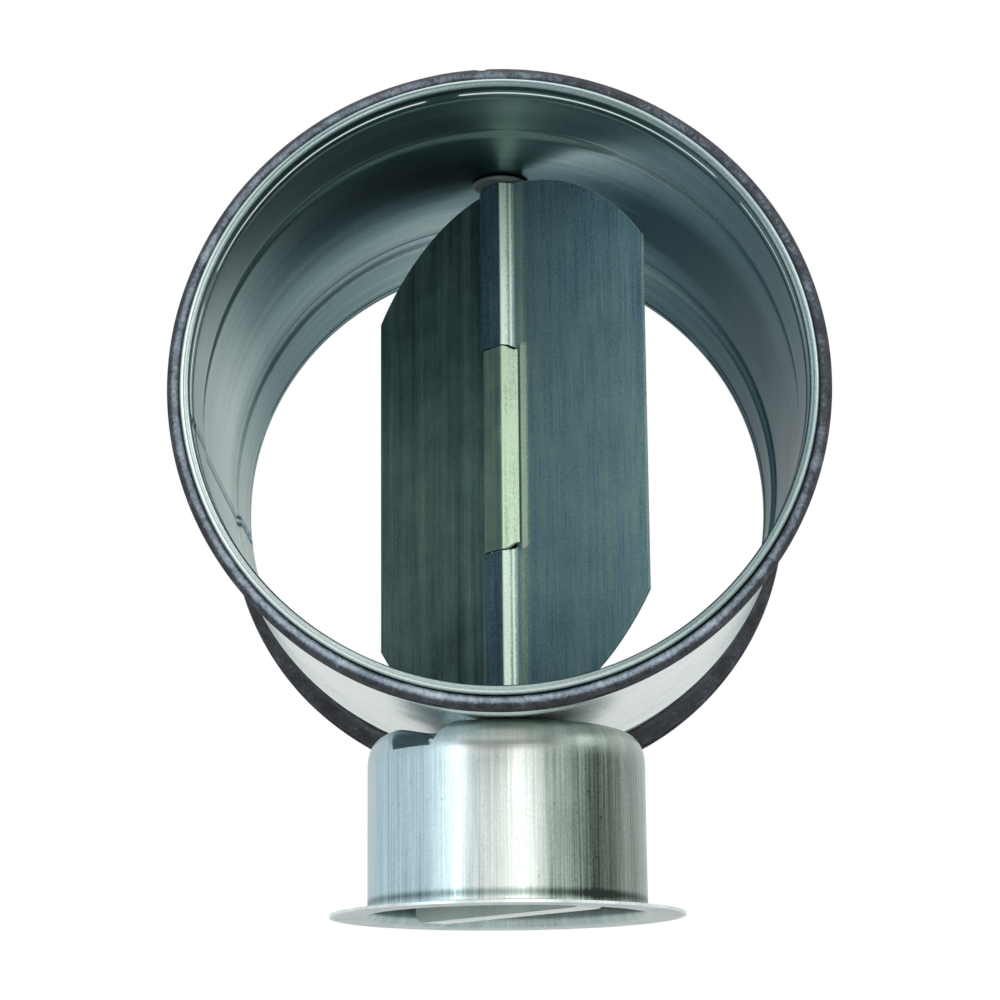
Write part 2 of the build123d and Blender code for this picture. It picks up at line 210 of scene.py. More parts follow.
# zinc over steel, from dark to light; each finish reads its own row
zincTones = {
    "duct": ["#1f2b2f", "#4a5c60", "#7f9192", "#b3c1be", "#e6ecea"],
    "bladeRight": ["#1b2a30", "#44606b", "#6d8f9a", "#93a795", "#dbe6d2"],
    "bladeLeft": ["#182022", "#3f5152", "#647f7e", "#8ea48a", "#d6e8c4"],
    "cup": ["#2a3532", "#65736e", "#99a8a4", "#c9d3d0", "#f4f7f4"],
    "plate": ["#5d6664", "#828b88", "#a4ada9", "#c2cac5", "#e2e8e2"],
    "grip": ["#7d8d8a", "#9fb1ad", "#b7c8c3", "#cdd9d3", "#e4ebe6"],
}
steelBase = {
    "toneFrom": "tone", "plainTone": 0.6,  # the attribute with the tones, or one tone for all
    "lines": 0.20, "lineSize": (0.45, 90.0),  # mm across and along: rolling or drawing lines
    "bands": 0.22, "bandSize": (5.0, 260.0),
    "mottle": 0.20, "mottleSize": 16.0, "speck": 0.10, "speckSize": 0.7,
    "pits": 0.0, "pitSize": 1.6, "pitSpan": (0.70, 0.76),
    "rough": (0.24, 0.40), "bump": 0.004, "metallic": 1.0,  # less where dull zinc scatters as paint does
    "edge": "#ffffff",  # colour at a glancing angle, darker where the zinc has dulled
    "warmCast": (1.0, 0.93, 0.82, 1.0), "coolCast": (0.80, 0.96, 1.10, 1.0),
    "rust": "#5a3a1c", "rustTints": (1.2, 2.0),  # the tints where rust starts and is full
}


def steelFinish(name, tones, **changes):
    # zinc over steel: a grey, faintly blue or green metal; rolling or drawing leaves fine lines and
    # wider bands that run one way, and the zinc's crystals a soft mottle and a fine speckle
    look = {**steelBase, **changes}
    material, tree = startMaterial(name)
    texture = addNode(tree, "ShaderNodeTexCoord")
    flat, solid = texture.outputs["UV"], texture.outputs["Object"]
    if look["toneFrom"]:
        toneNode = addNode(tree, "ShaderNodeAttribute", {"attribute_name": look["toneFrom"]})
        total = toneNode.outputs["Fac"]
    else:
        total, flat = look["plainTone"], solid
    noises = {}
    for part, detail in (("line", 3.0), ("band", 4.0), ("mottle", 6.0), ("speck", 3.0), ("pit", 2.0)):
        size = look[part + "Size"]
        if isinstance(size, tuple):
            across, lengthwise = (1000 / s for s in size)  # a noise's scale counts per metre
            stretch = (across, lengthwise, 1) if look["toneFrom"] else (across, across, lengthwise)
            mapping = addNode(tree, "ShaderNodeMapping", {}, {"Vector": flat, "Scale": stretch})
            place, scale = mapping.outputs["Vector"], 1.0
        else:
            place, scale = solid, 1000 / size
        noise = addNode(tree, "ShaderNodeTexNoise", {},
                        {"Vector": place, "Scale": scale, "Detail": detail, "Roughness": 0.6})
        noises[part] = noise.outputs["Fac"]
    # each pattern lightens and darkens the tone by its amount, and the pits only darken it
    amounts = {"line": look["lines"], "band": look["bands"],
               "mottle": look["mottle"], "speck": look["speck"]}
    for part, amount in amounts.items():
        if not amount:
            continue
        swing = addNode(tree, "ShaderNodeMapRange", {"clamp": False}, {
            "Value": noises[part], **noiseSpan, "To Min": -amount, "To Max": amount}).outputs["Result"]
        if part == "line" and look["toneFrom"]:
            drawn = addNode(tree, "ShaderNodeAttribute", {"attribute_name": "drawn"}).outputs["Fac"]
            swing = addNode(tree, "ShaderNodeMath", {"operation": "MULTIPLY"},
                            {0: swing, 1: drawn}).outputs[0]
        total = addNode(tree, "ShaderNodeMath", {"operation": "ADD"}, {0: swing, 1: total}).outputs[0]
    if look["pits"]:
        pitStart, pitEnd = look["pitSpan"]
        pit = addNode(tree, "ShaderNodeMapRange", {}, {"Value": noises["pit"], "From Min": pitStart,
                                                       "From Max": pitEnd, "To Max": look["pits"]})
        total = addNode(tree, "ShaderNodeMath", {"operation": "SUBTRACT"},
                        {0: total, 1: pit.outputs["Result"]}).outputs[0]
    stops = [(k / (len(tones) - 1), tone) for k, tone in enumerate(tones)]
    colour = fadeStops(addNode(tree, "ShaderNodeValToRGB", {}, {"Fac": total}), stops).outputs["Color"]
    if look["toneFrom"]:
        tint = addNode(tree, "ShaderNodeAttribute", {"attribute_name": "tint"}).outputs["Fac"]
        cast = addNode(tree, "ShaderNodeMix", {"data_type": "RGBA"},
                       {0: tint, mixFrom: look["warmCast"], mixTo: look["coolCast"]}).outputs[mixOut]
        colour = addNode(tree, "ShaderNodeMix", {"data_type": "RGBA", "blend_type": "MULTIPLY"},
                         {0: 1.0, mixFrom: colour, mixTo: cast}).outputs[mixOut]
        rustStart, rustFull = look["rustTints"]
        rustAmount = addNode(tree, "ShaderNodeMapRange", {},
                             {"Value": tint, "From Min": rustStart, "From Max": rustFull}).outputs["Result"]
        colour = addNode(tree, "ShaderNodeMix", {"data_type": "RGBA"},
                         {0: rustAmount, mixFrom: colour, mixTo: toLinear(look["rust"])}).outputs[mixOut]
    roughLow, roughHigh = look["rough"]
    rough = addNode(tree, "ShaderNodeMapRange", {},
                    {"Value": noises["mottle"], **noiseSpan, "To Min": roughLow, "To Max": roughHigh})
    bump = addNode(tree, "ShaderNodeBump", {},
                   {"Height": noises["line"], "Strength": 1.0, "Distance": look["bump"] * toMetres})
    shader = addNode(tree, "ShaderNodeBsdfPrincipled", {}, {
        "Base Color": colour, "Metallic": look["metallic"], "Roughness": rough.outputs["Result"],
        "Specular Tint": toLinear(look["edge"]), "Normal": bump.outputs["Normal"]})
    addNode(tree, "ShaderNodeOutputMaterial", {}, {"Surface": shader.outputs[0]})
    return material


talc = {
    "smears": 140.0, "specks": 1100.0,  # counts per metre: smears about 7 mm and specks about 1 mm apart
    "speckShare": 0.55, "plain": 0.3,
    "stops": [(0.0, "#111317"), (0.3, "#363d45"), (0.6, "#7b8894"), (1.0, "#c2ccd4")],
}


def talcedRubber(name, marked):
    # EPDM rubber dusted with talc: a matt near-black with lilac-grey smears and small pale specks;
    # on the gaskets the tone says where the talc has stayed
    material, tree = startMaterial(name)
    source = addNode(tree, "ShaderNodeTexCoord").outputs["Object"]
    cloud = addNode(tree, "ShaderNodeTexNoise", {}, {
        "Vector": source, "Scale": talc["smears"], "Detail": 8.0, "Roughness": 0.72, "Distortion": 0.6})
    speck = addNode(tree, "ShaderNodeTexNoise", {},
                    {"Vector": source, "Scale": talc["specks"], "Detail": 3.0, "Roughness": 0.7})
    dust = addNode(tree, "ShaderNodeMath", {"operation": "MULTIPLY_ADD"},
                   {0: speck.outputs["Fac"], 1: talc["speckShare"], 2: cloud.outputs["Fac"]}).outputs[0]
    level = addNode(tree, "ShaderNodeMapRange", {"clamp": False}, {
        "Value": dust, "From Min": 0.50, "From Max": 1.05, "To Min": -0.32, "To Max": 0.36}).outputs["Result"]
    stayed = talc["plain"]
    if marked:
        stayed = addNode(tree, "ShaderNodeAttribute", {"attribute_name": "tone"}).outputs["Fac"]
    level = addNode(tree, "ShaderNodeMath", {"operation": "ADD"}, {0: level, 1: stayed}).outputs[0]
    ramp = fadeStops(addNode(tree, "ShaderNodeValToRGB", {}, {"Fac": level}), talc["stops"])
    bump = addNode(tree, "ShaderNodeBump", {}, {"Height": dust, "Strength": 0.5, "Distance": 0.0002})
    shader = addNode(tree, "ShaderNodeBsdfPrincipled", {}, {
        "Base Color": ramp.outputs["Color"], "Roughness": 0.72, "IOR": 1.52,
        "Normal": bump.outputs["Normal"]})
    addNode(tree, "ShaderNodeOutputMaterial", {}, {"Surface": shader.outputs[0]})
    return material


def mouldedNylon(name):
    # natural nylon, injection moulded: milky, here painted a dull grey-green for the shade inside the duct,
    # and it lets a little light through
    material, tree = startMaterial(name)
    source = addNode(tree, "ShaderNodeTexCoord").outputs["Object"]
    cloud = addNode(tree, "ShaderNodeTexNoise", {},
                    {"Vector": source, "Scale": 220.0, "Detail": 4.0}).outputs["Fac"]
    colour = addNode(tree, "ShaderNodeMix", {"data_type": "RGBA"},
                     {0: cloud, mixFrom: toLinear("#5c6d6d"), mixTo: toLinear("#7b8b8a")}).outputs[mixOut]
    bump = addNode(tree, "ShaderNodeBump", {}, {"Height": cloud, "Strength": 0.3, "Distance": 0.0001})
    shader = addNode(tree, "ShaderNodeBsdfPrincipled", {}, {
        "Base Color": colour, "Roughness": 0.38, "Normal": bump.outputs["Normal"], "IOR": 1.53,
        "Transmission Weight": 0.35})
    addNode(tree, "ShaderNodeOutputMaterial", {}, {"Surface": shader.outputs[0]})
    return material


def printedFilm(name, firstTurn):
    # polyester film printed with a mark every ten degrees: a flat pale white with thin dark lines,
    # its marks counted from firstTurn, in degrees round the spindle
    material, tree = startMaterial(name)
    source = addNode(tree, "ShaderNodeTexCoord").outputs["Object"]
    marksRound = 36.0  # marks in a full turn
    markWidth = 0.055  # half a mark's share of their spacing
    turn = addNode(tree, "ShaderNodeTexGradient", {"gradient_type": "RADIAL"},
                   {"Vector": source}).outputs["Fac"]
    count = addNode(tree, "ShaderNodeMath", {"operation": "MULTIPLY_ADD"},
                    {0: turn, 1: marksRound, 2: 0.5 - (firstTurn + 180) / 10 % 1}).outputs[0]
    part = addNode(tree, "ShaderNodeMath", {"operation": "FRACT"}, {0: count}).outputs[0]
    onMark = addNode(tree, "ShaderNodeMath", {"operation": "COMPARE"}, {0: part, 1: 0.5, 2: markWidth})
    dust = addNode(tree, "ShaderNodeTexNoise", {},
                   {"Vector": source, "Scale": 260.0, "Detail": 4.0}).outputs["Fac"]
    film = addNode(tree, "ShaderNodeMix", {"data_type": "RGBA"},
                   {0: dust, mixFrom: toLinear("#c9cdcb"), mixTo: toLinear("#e4e7e5")})
    colour = addNode(tree, "ShaderNodeMix", {"data_type": "RGBA"}, {
        0: onMark.outputs[0], mixFrom: film.outputs[mixOut], mixTo: toLinear("#23272a")}).outputs[mixOut]
    bump = addNode(tree, "ShaderNodeBump", {}, {"Height": dust, "Strength": 0.2, "Distance": 0.00005})
    shader = addNode(tree, "ShaderNodeBsdfPrincipled", {},
                     {"Base Color": colour, "Roughness": 0.45, "Normal": bump.outputs["Normal"], "IOR": 1.5})
    addNode(tree, "ShaderNodeOutputMaterial", {}, {"Surface": shader.outputs[0]})
    return material


# rolled sheet: inside it has dulled and its lines are faint, outside it is a little brighter
sheetLines = {"lineSize": (60.0, 0.9), "bandSize": (220.0, 7.0), "lines": 0.03, "speck": 0.04}
sheetSteel = steelFinish(
    "galvanisedSheetSteel", zincTones["duct"], **sheetLines, bands=0.05, mottle=0.02, mottleSize=30.0,
    rough=(0.30, 0.34), bump=0.002, edge="#b4c0c3")
outerSteel = steelFinish(
    "galvanisedSheetSteelOutside", zincTones["duct"], **sheetLines, bands=0.04, mottle=0.05, metallic=0.8)
# rolled and pressed: lines run up the blade, the right half bluer and the left one greener
bladeSurface = {"speckSize": 0.55, "rough": (0.34, 0.46), "metallic": 0.45}
bladeSteelRight = steelFinish(
    "rolledGalvanisedBladeRight", zincTones["bladeRight"], **bladeSurface, lines=0.085, lineSize=(0.6, 30.0),
    bands=0.05, mottle=0.03, speck=0.10)
bladeSteelLeft = steelFinish(
    "rolledGalvanisedBladeLeft", zincTones["bladeLeft"], **bladeSurface, lines=0.06, lineSize=(0.7, 45.0),
    bands=0.12, mottle=0.06, mottleSize=11.0, speck=0.07)
# deep drawn: fine upright lines from the die, soft wide highlights and a few dark pits
drawnSteel = steelFinish(
    "deepDrawnGalvanisedCup", zincTones["cup"], lines=0.095, lineSize=(0.55, 60.0), bands=0.06,
    bandSize=(3.5, 200.0), mottle=0.02, speck=0.035, pits=0.22, rough=(0.30, 0.40))
plainSteel = {"toneFrom": "", "lineSize": (0.8, 6.0), "bands": 0.0, "speck": 0.05}
# electroplated turned parts and fasteners: bright and even, with a soft cloudiness
zincPlate = steelFinish(
    "brightZincPlate", zincTones["plate"], **plainSteel, plainTone=0.72, lines=0.05, mottle=0.10)
# the folded grip strap, zinc plated and passivated: a pale green-grey, duller than the fasteners
gripSteel = steelFinish(
    "passivatedGripStrap", zincTones["grip"], **plainSteel, plainTone=0.62, lines=0.04, mottle=0.08,
    metallic=0.25)
rubber = talcedRubber("talcDustedRubber", False)
gasketRubber = talcedRubber("talcDustedGasket", True)
nylon = mouldedNylon("naturalNylon")
scaleFilm = printedFilm("printedScaleFilm", 172.0)
print("finishes made")

finishOf = {
    "galvanised_sheet": zincPlate, "drawn_steel": zincPlate, "zinc_plated_steel": zincPlate,
    "rubber": rubber, "nylon": nylon, "scale_film": scaleFilm,
}
slotOf = {part["node"]: part["material_slot"] for part in frame["record"]["subparts"]}
for node, piece in frame["nodes"].items():
    piece.data.materials.clear()
    piece.data.materials.append(gripSteel if node == "grip_strap" else finishOf[slotOf[node]])

duct = {
    "wall": 0.6, "bore": 78.9, "body": 79.8, "columns": 480,
    "rim": 81.5, "rimDepth": 3.8, "rimWaver": 0.06, "lip": 1.3, "rimZone": 2.6,
    "beadInset": 35.0, "beadHeight": 1.5, "beadHalf": 5.0,
    "markInset": 4.6, "markDepth": 0.62, "markHalf": 0.55,
    # degrees: an expanding tool's six jaws leave a gap between each two
    "jaws": 6, "markGap": 5.6, "markFirst": 40.4, "markEase": 0.8,
    "lineInset": 8.2, "lineDepth": 0.22, "lineHalf": 0.9,
    "seamAngle": -173.2, "seamHeight": 0.35, "seamHalf": 0.9, "seamDark": 0.60,
    # tone round the bore, in degrees: mostly painted soft reflections and painted shade
    "toneAngles": [0, 30, 58, 75, 90, 120, 150, 172, 190, 230, 270, 320],
    "tones": [0.10, 0.14, 0.34, 0.66, 0.78, 0.72, 0.68, 1.0, 1.05, 1.02, 0.62, 0.18],
    "tintAngles": [0, 90, 180, 270], "tints": [0.62, 0.5, 0.3, 0.4], "outsideTint": 0.42, "rustTint": 1.8,
    "rustSpots": [(-70.8, 2.6), (50.0, 4.0), (60.0, 3.0)],  # mm along the seam, and size
    # inset from, to, and the number of points: finest across the grooves and the bead
    "insets": [(1.3, 4, 10), (4, 5.2, 13), (5.2, 12, 30), (12, 26, 6), (26, 40, 30), (40, 75, 8)],
}


def jawMarks(turn, shape):
    # 1 along each jaw's mark and 0 in the gaps between them, with eased ends
    between = 360 / shape["jaws"]
    place = (turn - shape["markFirst"] + between / 2) % between - between / 2
    return smoothStep((np.abs(place) - shape["markGap"] / 2) / shape["markEase"])


def ductSkin(inset, angle, shape):
    # inner radius of the sheet: the bore, plus an outward stop bead, plus the tool's broken groove,
    # less a faint line beside it and the lock seam's ridge
    turn = np.degrees(angle)
    marks = jawMarks(turn, shape)
    widen = (shape["body"] - shape["bore"]) * smoothStep((inset - shape["beadInset"] + 2) / 4)
    bead = (shape["beadHeight"] - 0.5 * widen) * hump(inset, shape["beadInset"], shape["beadHalf"])
    radius = shape["bore"] + widen + bead
    radius = radius + marks * shape["markDepth"] * hump(inset, shape["markInset"], shape["markHalf"])
    radius = radius - shape["lineDepth"] * hump(inset, shape["lineInset"], shape["lineHalf"])
    seam = hump(degreesFrom(turn, shape["seamAngle"]), 0, shape["seamHalf"])
    return radius - shape["seamHeight"] * seam * smoothStep((inset - 2) / 2)


def ductTones(angle, y, radius, innerRows, shape):
    # tone and tint by angle round the bore and distance from the end, with bright grooves and a dark line
    # along the seam; the wide light and dark areas are set one by one and mostly stand for soft reflections
    # and shade, so they stay on the sheet when the lamps change
    turn, fromEnd, near = np.degrees(angle), halfDuct - np.abs(y), y < 0
    # painted shade darkens the upper wall deep inside; the right wall gets painted light near the end and
    # painted shade further in, and the left wall painted shade deep in
    upper = smoothStep((np.sin(angle) - 0.2) / 0.6)
    right, left = (np.clip(np.cos(angle - np.radians(at)), 0, 1) ** 2 for at in (20, 150))
    # the jaw grooves carry a painted highlight at the near end and painted shade at the far end; a painted
    # dark line runs beside the faint groove; the bead has a painted highlight, at the far end on the right
    # only, and painted shade on the left
    marks = hump(fromEnd, shape["markInset"], 1.0) * jawMarks(turn, shape) * np.where(near, 0.85, -0.30)
    line = 0.16 * hump(fromEnd, shape["lineInset"] - 1.2, 1.0)
    bead = hump(fromEnd, shape["beadInset"] - 2.6, 2.0) * np.where(near, 0.22, 0.16 * right - 0.34 * left)
    shade = 0.30 * hump(turn, 122, 46) * smoothStep((fromEnd - 38) / 8) * smoothStep((12 - y) / 30)
    deeper = right * (0.08 - 0.16 * smoothStep((y + 50) / 60)) - 0.24 * left * smoothStep((y - 15) / 25)
    tone = np.interp(turn, shape["toneAngles"], shape["tones"], period=360)
    tone = tone - 0.34 * upper * smoothStep((fromEnd - 40) / 30) - shade + deeper + (marks - line + bead)
    # the rolled rim has painted highlights along its crown and at its inner curl, painted light towards the
    # lower left, and is darker where the rubber starts
    crown = 0.36 + 0.55 * hump(radius, 80.75, 0.40) + 0.42 * hump(radius, 79.5, 0.35)
    crown = crown - 0.22 * smoothStep((radius - 81.1) / 0.3)
    crown = crown + 0.28 * np.clip(np.cos(angle - np.radians(215)), 0, 1)
    onRim = fromEnd < shape["rimZone"]
    tone = np.where(onRim, crown, tone)
    # painted light from below: the outer skin is lighter beneath
    outside = 0.56 + 0.39 * smoothStep((-np.sin(angle) - 0.40) / 0.35)  # lighter beneath
    tone = np.where(innerRows | onRim, tone, outside)
    seamAway = np.abs(degreesFrom(turn, shape["seamAngle"]))
    tone = tone - shape["seamDark"] * innerRows * np.exp(-((seamAway - 0.8) / 0.40) ** 2)
    spots = sum(np.exp(-((y - at) / size) ** 2) for at, size in shape["rustSpots"])
    spots = np.exp(-(seamAway / 2.0) ** 2) * spots
    tint = np.interp(turn, shape["tintAngles"], shape["tints"], period=360)
    tint = np.where(innerRows & ~onRim, tint, shape["outsideTint"]) + shape["rustTint"] * spots * innerRows
    return tone, tint


def ductPiece(shape):
    # a closed profile round the duct's axis: inner skin, rolled rim, outer skin, rolled rim
    bore, rim, rimDepth = shape["bore"], shape["rim"], shape["rimDepth"]
    insets = np.unique(np.concatenate([np.linspace(*span) for span in shape["insets"]]))
    # the grid starts at the seam, where the patterns meet
    angle = np.radians(shape["seamAngle"]) + np.linspace(0, 2 * np.pi, shape["columns"], endpoint=False)
    inner = ductSkin(*np.meshgrid(insets, angle, indexing="ij"), shape)
    backs = insets[insets > rimDepth]
    outer = ductSkin(*np.meshgrid(backs, angle, indexing="ij"), shape) + shape["wall"]
    curl = np.linspace(0, 1, 9)[1:]
    lipInset = shape["lip"] - shape["lip"] * np.sin(np.pi * curl)
    lipRadius = (bore + rim) / 2 - (rim - bore) / 2 * np.cos(np.pi * curl)
    rimInset = np.concatenate([lipInset, [2.4, rimDepth - 0.3, rimDepth, rimDepth]])
    rimRadius = np.concatenate([lipRadius, [rim, rim, rim - 0.3, bore + shape["wall"] + 0.05]])
    waver = ripple(angle, 3, (2, 5, 9), shape["rimWaver"])
    # from the middle, out by the inside, back by the outside, and then the other half mirrored
    depth = np.concatenate([insets[::-1], rimInset, backs])[:, None]
    radius = np.vstack([inner[::-1], rimRadius[:, None] + waver, outer])
    mirrored = slice(-2, 0, -1)
    y = np.vstack([depth - halfDuct, (halfDuct - depth)[mirrored]])
    radius = np.vstack([radius, radius[mirrored]])
    points = np.stack([radius * np.cos(angle), y + 0 * radius, ductAxis + radius * np.sin(angle)], -1)
    rowLength = pathLength(np.stack([y[:, 0], radius[:, 0]], -1), True)
    columnLength = np.linspace(0, 2 * np.pi * bore, len(angle) + 1)
    rows = np.arange(len(y))[:, None]
    innerRows = (rows < len(insets)) | (rows >= len(y) - len(insets) + 2)
    tone, tint = ductTones(angle, y, radius, innerRows, shape)
    piece = shellPiece("ductShell", [{
        "points": points, "close": (True, True), "along": (rowLength, columnLength),
        "tone": tone, "tint": tint}])
    piece.data.materials.append(sheetSteel)
    piece.data.materials.append(outerSteel)
    outerRows = ~innerRows & (halfDuct - np.abs(y) > shape["rimZone"])
    piece.data.polygons.foreach_set("material_index", np.repeat(outerRows, len(angle)).astype(np.int32))
    return piece


ductShell = ductPiece(duct)
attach(ductShell, "casing")
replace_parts(ductShell, "duct_casing")
print("duct casing made")

gasket = {
    "profile": [(4.1, 79.6), (4.1, 81.65), (1.5, 81.65), (1.35, 83.3), (2.4, 84.8), (3.5, 84.8), (4.6, 81.9),
                (8.2, 81.4), (9.8, 84.4), (10.7, 84.4), (12.0, 81.3), (15.6, 80.5), (16.2, 79.6)],
    "rounding": [0.05, 0.05, 0.4, 0.7, 0.6, 0.5, 1.2, 1.2, 0.5, 0.5, 1.2, 0.8],
    "jointAngle": 92.7, "waver": 0.10, "seeds": {-1: 11, 1: 12}, "columns": 480,
    # talc stays on the front lip's face, most at the bottom left, and rubs off the lips' tips
    "talcAngles": [0, 60, 100, 180, 250, 320], "talcTones": [0.20, 0.20, 0.38, 0.54, 0.76, 0.56],
    "bareTone": 0.12,
}


def gasketPiece(name, direction, shape):
    # a two-lipped profile round the duct's axis, a little uneven, with a cut where its ends butt
    path = fillIn(roundPath(shape["profile"], shape["rounding"]), 0.8, closed=True)
    inset, height = path[:, :1], path[:, 1:]
    angle = np.linspace(0, 2 * np.pi, shape["columns"], endpoint=False)
    turn = np.degrees(angle)
    outward = smoothStep((height - 81.8) / 3)
    away = degreesFrom(turn, shape["jointAngle"])
    joint = 0.9 * np.exp(-(away / 0.45) ** 2) - 0.35 * np.exp(-np.abs(away) / 4) * (away > 0)
    waver = ripple(angle, shape["seeds"][direction], (2, 3, 7, 13), shape["waver"])
    radius = height + outward * np.minimum(waver - joint, 0)
    y = direction * (halfDuct - inset) + 0 * radius
    points = np.stack([radius * np.cos(angle), y, ductAxis + radius * np.sin(angle)], -1)
    face = hump(height, 82.7, 1.5) * (inset < 2.6)
    talced = np.interp(turn, shape["talcAngles"], shape["talcTones"], period=360)
    tone = shape["bareTone"] + face * talced
    piece = shellPiece(name, [{"points": points, "close": (True, True), "flip": direction < 0, "tone": tone}])
    piece.data.materials.append(gasketRubber)
    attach(piece, "casing")
    return piece


for name, direction in (("front_gasket", -1), ("rear_gasket", 1)):
    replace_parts(gasketPiece(name.replace("_gasket", "Gasket"), direction, gasket), name)
print("gaskets made")

cup = {
    "hole": 5.6, "radius": 37.9, "top": 49.5, "sheet": 0.7, "shoulder": 9.0, "flange": 48.2, "foot": 1.8,
    "pocketDepth": 7.0, "pocketTurn": 228.0, "pocketHalf": 10.5, "pocketInner": 15.0, "pocketSlope": 25.0,
    "pocketCorner": 4.0,
    "easySide": 0.6, "easyStart": 1.5,  # the pocket's left side slopes more gently, and starts further out
    "turnSteps": (0.9, 0.4), "fineTurns": (200, 250),  # degrees: finer round the pocket
    "drawWaver": 0.05,
    # angle right of the front, in degrees, with the tone and the tint there: upright reflections set one by
    # one and fixed to the cup, so they stay when the lamps change
    "toneAngles": [-120, -80, -55, -38, -22, -12, 4, 16, 27, 36, 46, 60, 85, 130],
    "tones": [0.60, 0.60, 0.66, 0.67, 0.75, 0.78, 0.80, 0.62, 0.37, 0.12, 0.18, 0.38, 0.50, 0.60],
    "tints": [0.6, 0.75, 1.05, 1.15, 0.75, 0.45, 0.25, 0.25, 0.25, 0.2, 0.15, 0.25, 0.4, 0.5],
    "shoulderTone": 0.58, "flangeTones": (0.66, 0.54), "insideTone": 0.58, "edgeTone": 0.86,
    "pocketTone": 0.80, "flangeTint": 0.55,
}


def pocketFloor(x, y, shape, grow):
    # height of the pressed pocket: its depth grows with the distance inside a rounded strip, at the
    # pocket's slope, up to the full depth
    turn, corner = np.radians(shape["pocketTurn"]), shape["pocketCorner"]
    along, across = x * np.cos(turn) + y * np.sin(turn), y * np.cos(turn) - x * np.sin(turn)
    a, b = along - shape["pocketInner"] + grow, shape["pocketHalf"] + grow - np.abs(across)
    b = np.where(across < 0, shape["easySide"] * (b + shape["easyStart"]), b)
    rounded = corner - np.hypot(np.maximum(corner - a, 0), np.maximum(corner - b, 0))
    inside = np.minimum(np.minimum(a, b), rounded)
    depth = np.clip(inside / np.tan(np.radians(shape["pocketSlope"])), 0, shape["pocketDepth"])
    return np.where(inside > 0, shape["top"] - (grow > 0) * shape["sheet"] - depth, farAway)


def softMin(a, b, width):
    # the lower of two heights, with the crease between them rounded over width
    blend = np.clip(0.5 + 0.5 * (b - a) / width, 0, 1)
    return b + (a - b) * blend - width * blend * (1 - blend) * 0.5


def cupTones(front, r, z, isOuter, inPocket, shape):
    # tone, tint and strength of the drawing lines, by the angle from the front and the height; the
    # last hump is a soft reflection on the shoulder
    wide = shape["radius"]
    onFlange = r > wide + 1.2
    tone = np.interp(front, shape["toneAngles"], shape["tones"]) + 0 * z
    tint = np.interp(front, shape["toneAngles"], shape["tints"]) + 0 * z
    # a painted dark reflection makes a dull band just above the flange, and the shoulder is less polished
    tone = tone - 0.34 * hump(z, 3.6, 1.7) * (r < wide + 1.5) * isOuter
    tone = tone + (shape["shoulderTone"] - tone) * smoothStep((z - 38) / 7) * 0.7
    tone = tone + 0.34 * hump(z, 43, 6) * hump(front, -4, 34)
    tone = np.where(isOuter, tone, shape["insideTone"])
    tone = np.where(onFlange, np.where(isOuter, *shape["flangeTones"]), tone)
    tone = np.where(r > shape["flange"] - 0.6, shape["edgeTone"], tone)
    tone = np.where(isOuter & inPocket & (r < wide - 0.4), shape["pocketTone"], tone)
    tint = np.where(onFlange, shape["flangeTint"], tint)
    drawn = np.where(isOuter & ~onFlange, 1.0 - 0.8 * smoothStep((z - 38) / 5), 0.35)
    return tone, tint, drawn


def cupPiece(shape):
    # a turned profile, out by the outer skin and back by the inner one; the pocket lowers both skins
    hole, wide, top, t = shape["hole"], shape["radius"], shape["top"], shape["sheet"]
    flange, foot, shoulder = shape["flange"], shape["foot"], shape["shoulder"]
    outer = fillIn(roundPath([(hole, top), (wide, top), (wide, t), (flange, t)], [shoulder, foot], 14), 0.55)
    inner = [(flange, 0), (wide - t, 0), (wide - t, top - t), (hole, top - t)]
    inner = fillIn(roundPath(inner, [foot + t, shoulder - t], 8), 1.6)
    path = np.vstack([outer, inner])
    coarse, fine = shape["turnSteps"]
    fineFrom, fineTo = shape["fineTurns"]
    spans = [(0, fineFrom, coarse), (fineFrom, fineTo, fine), (fineTo, 360, coarse)]
    angle = np.unique(np.round(np.radians(np.concatenate([np.arange(*span) for span in spans])), 8))
    r, z = path[:, :1], path[:, 1:]
    # the drawn wall is faintly three-sided
    draw = shape["drawWaver"] * np.sin(3 * angle + 0.7) * smoothStep((z - 3) / 8) * (r > 30)
    drawnIn = r - np.maximum(draw, 0)
    x, y = drawnIn * np.cos(angle), drawnIn * np.sin(angle)
    isOuter = np.arange(len(path))[:, None] < len(outer)
    floorOuter, floorInner = pocketFloor(x, y, shape, 0.0), pocketFloor(x, y, shape, t)
    z = z + 0 * x
    # the pocket's left shoulder is the softer one
    soften = 0.8 + 2.4 * smoothStep((223 - np.degrees(angle)) / 10)
    pressed = np.where(floorOuter < farAway, softMin(z, floorOuter, soften), z)
    z = np.where(isOuter, pressed, np.minimum(z, floorInner))
    front = degreesFrom(np.degrees(angle), 270)
    tone, tint, drawn = cupTones(front, r, z, isOuter, floorOuter < z + 0.5, shape)
    return shellPiece("cupShell", [{
        "points": np.stack([x, y, z], -1), "close": (True, True), "flip": True, "tone": tone, "tint": tint,
        "drawn": drawn, "along": (pathLength(path, True), np.append(angle, 2 * np.pi) * wide)}], sharp=50)


cupShell = cupPiece(cup)
cupShell.data.materials.append(drawnSteel)
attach(cupShell, "casing")
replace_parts(cupShell, "insulation_cup")
print("insulation cup made")

blade = {
    "upright": 78.0, "sheet": 0.8, "reach": 77.9, "middle": 29.5, "gap": 0.25,
    # the straight side's distance from the spindle, and the round rim's half width
    "right": (57.6, 73.8), "left": (54.6, 71.0),
    "top": 3.85, "flat": 3.9, "foot": 5.9, "end": 7.9, "endHeight": 1.25, "plateStart": 7.1,
    "footRound": 1.4, "topRound": 0.9, "endCut": 1.3, "middleCut": 1.5,
    "tint": 0.6, "edgeTone": 0.42, "edgeTint": 0.5, "mapStep": 20,
}


